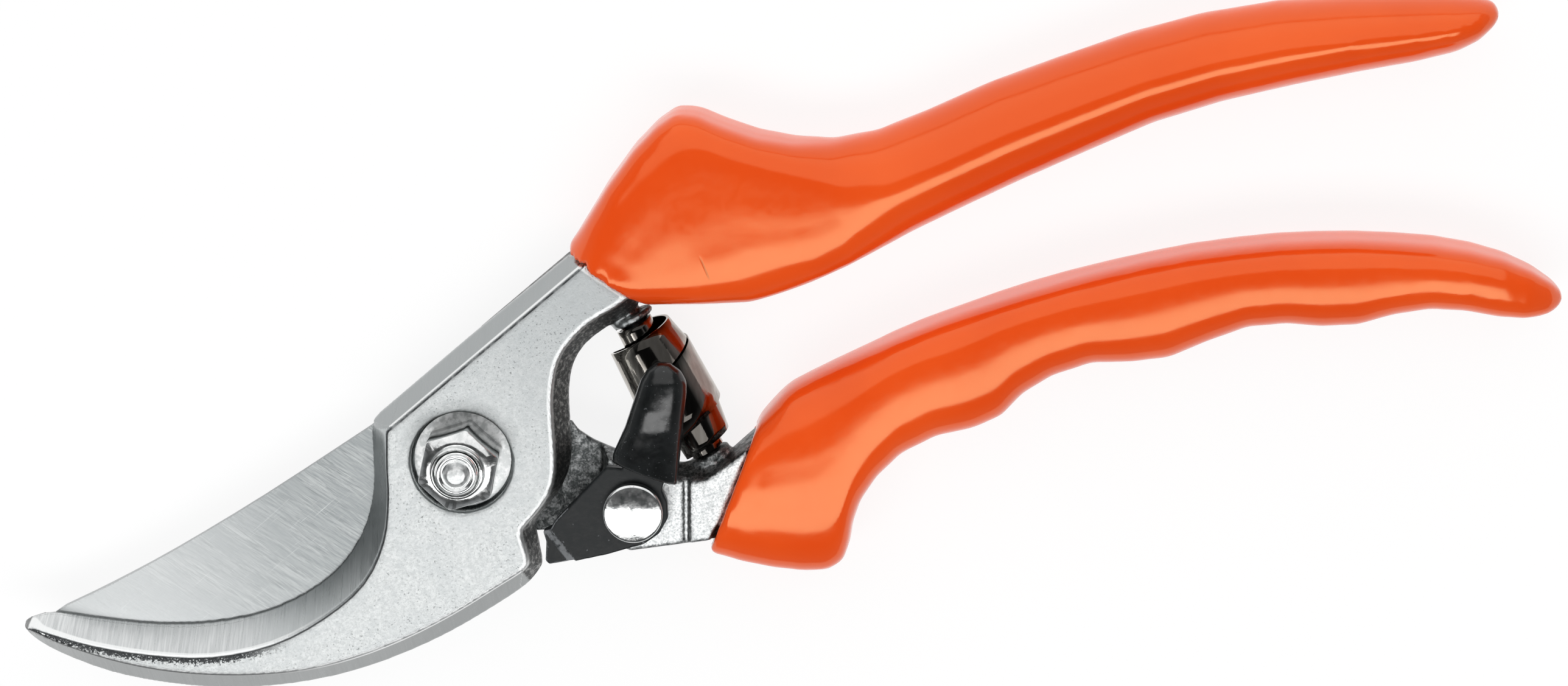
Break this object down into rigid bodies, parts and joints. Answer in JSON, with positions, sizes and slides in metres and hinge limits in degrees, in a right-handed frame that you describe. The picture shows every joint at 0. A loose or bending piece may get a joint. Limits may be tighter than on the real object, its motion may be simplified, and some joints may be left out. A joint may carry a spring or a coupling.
{
  "type": "pruning shears",
  "caption": "Bypass pruning shears with a hooked counter-blade, a ground cutting blade, vinyl-dipped handles, a volute spring between them and a thumb lock.",
  "frame": {"origin": "on the pivot axis, at the outer face of the pivot bolt's head", "axes": "+X along the shears towards the ends of the handles, +Y across them towards the upper handle, +Z along the pivot towards the nut; the shears lie closed with their back on the plane z = 0"},
  "size_m": [0.218, 0.0668, 0.0212],
  "materials": {
    "blasted_steel": "fine blasted satin steel with a soft mottle",
    "forged_steel": "forged steel, granular and darker in the recesses",
    "ground_steel": "ground steel with long grinding marks",
    "bright_steel": "bright plated steel",
    "nickel_spring": "bright nickel-plated spring strip",
    "black_steel": "black satin coating on pressed steel",
    "orange_vinyl": "glossy dipped vinyl",
    "black_vinyl": "glossy black dipped vinyl"
  },
  "bodies": {
    "counter_half": {"counter_blade": "blasted_steel", "upper_grip": "orange_vinyl", "volute_spring": "nickel_spring"},
    "cutting_half": {"lower_tang": "forged_steel", "cutting_blade": "ground_steel", "blade_rivet_front": "bright_steel", "blade_rivet_rear": "bright_steel", "lower_grip": "orange_vinyl", "pivot_bolt": "bright_steel", "pivot_washer": "bright_steel", "pivot_nut": "bright_steel", "lock_rivet": "bright_steel", "lock_spring_washer": "bright_steel"},
    "lock": {"lock_lever": "black_steel", "lock_thumb_cap": "black_vinyl"}
  },
  "joints": [
    {"name": "handles_open", "type": "hinge", "parent": "counter_half", "child": "cutting_half", "pos_m": [0, 0, 0.008], "axis": [0, 0, -1], "range_deg": [0, 25], "deforming": ["volute_spring"]},
    {"name": "lock_release", "type": "hinge", "parent": "cutting_half", "child": "lock", "pos_m": [0.0204, -0.0133, 0.0138], "axis": [0, 0, 1], "range_deg": [0, 40]}
  ],
  "couplings": [
    {"joint": "lock_release", "follows": "handles_open", "ratio": 1.6}
  ]
}
